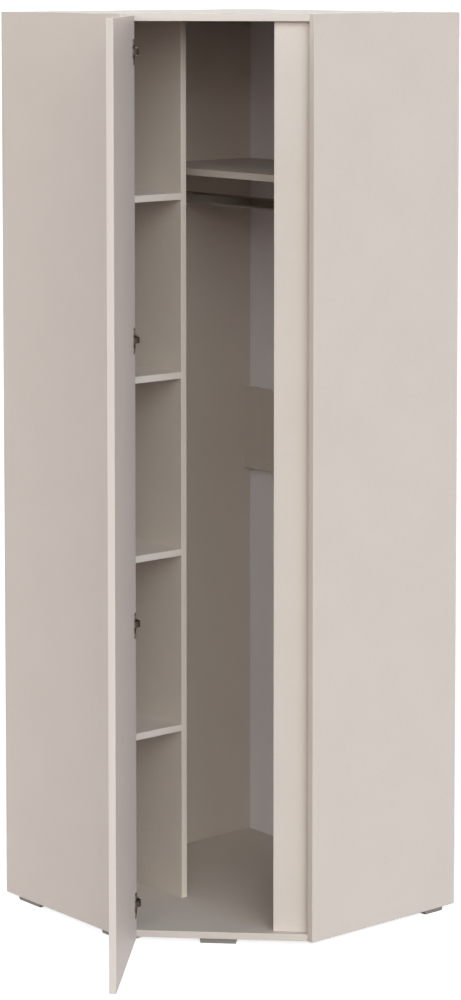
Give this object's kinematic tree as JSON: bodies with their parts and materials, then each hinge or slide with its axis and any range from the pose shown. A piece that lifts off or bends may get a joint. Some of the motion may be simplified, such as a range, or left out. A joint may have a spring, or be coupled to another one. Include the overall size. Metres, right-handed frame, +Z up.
{
  "type": "corner wardrobe",
  "caption": "Tall five-sided corner wardrobe with a diagonal front, hinged door on concealed hinges, fixed shelves in one wing and a hanging rod in the other.",
  "frame": {"origin": "middle of the footprint, on the floor, with the door open as stored", "axes": "+Z up, +X along the right-hand wall, away from the room's corner, +Y towards that wall, so the left-hand wall is on the -X side and the diagonal front faces +X and -Y"},
  "size_m": [0.758, 1.0152, 2.12],
  "materials": {
    "melamine": "light warm grey-beige melamine-faced chipboard, satin",
    "hardboard": "white-lacquered hardboard, satin",
    "hinges": "nickel-plated pressed steel",
    "screws": "zinc-plated steel",
    "hinge_levers": "dark phosphated spring steel, dull",
    "rod": "chrome-plated drawn steel tube",
    "glides": "grey moulded plastic, matte"
  },
  "bodies": {
    "cabinet": {"side_panel_left": "melamine", "side_panel_right": "melamine", "bottom_panel": "melamine", "top_panel": "melamine", "back_panel": "melamine", "cross_rail": "melamine", "partition": "melamine", "shelf_1": "melamine", "shelf_2": "melamine", "shelf_3": "melamine", "shelf_4": "melamine", "hanging_shelf": "melamine", "front_stile": "melamine", "back_sheet_lower": "hardboard", "back_sheet_upper": "hardboard", "hanging_rod": "rod", "rod_socket_left": "rod", "rod_socket_right": "rod", "rod_socket_left_screw_lower": "screws", "rod_socket_left_screw_upper": "screws", "rod_socket_right_screw_lower": "screws", "rod_socket_right_screw_upper": "screws", "hinge_arm_screw_1": "screws", "hinge_arm_screw_2": "screws", "hinge_arm_screw_3": "screws", "hinge_arm_screw_4": "screws", "hinge_plate_1_screw_lower": "screws", "hinge_plate_1_screw_upper": "screws", "hinge_plate_2_screw_lower": "screws", "hinge_plate_2_screw_upper": "screws", "hinge_plate_3_screw_lower": "screws", "hinge_plate_3_screw_upper": "screws", "hinge_plate_4_screw_lower": "screws", "hinge_plate_4_screw_upper": "screws", "hinge_arm_1": "hinges", "hinge_arm_2": "hinges", "hinge_arm_3": "hinges", "hinge_arm_4": "hinges", "hinge_plate_1": "hinges", "hinge_plate_2": "hinges", "hinge_plate_3": "hinges", "hinge_plate_4": "hinges", "foot_left_rear": "glides", "foot_left_front": "glides", "foot_right_rear": "glides", "foot_back_corner": "glides", "foot_front": "glides"},
    "door": {"door": "melamine", "hinge_cup_1": "hinges", "hinge_cup_2": "hinges", "hinge_cup_3": "hinges", "hinge_cup_4": "hinges"},
    "hinge_links": {"hinge_link_1": "hinge_levers", "hinge_link_2": "hinge_levers", "hinge_link_3": "hinge_levers", "hinge_link_4": "hinge_levers"}
  },
  "joints": [
    {"name": "door_swing", "type": "hinge", "parent": "cabinet", "child": "door", "pos_m": [0.08898, -0.24248, 1.067], "axis": [0, 0, -1], "range_deg": [-90, 5]},
    {"name": "link_fold", "type": "hinge", "parent": "door", "child": "hinge_links", "pos_m": [0.10532, -0.24552, 1.067], "axis": [0, 0, -1], "range_deg": [-2, 36]}
  ],
  "couplings": [
    {"joint": "link_fold", "follows": "door_swing", "ratio": -0.4}
  ]
}
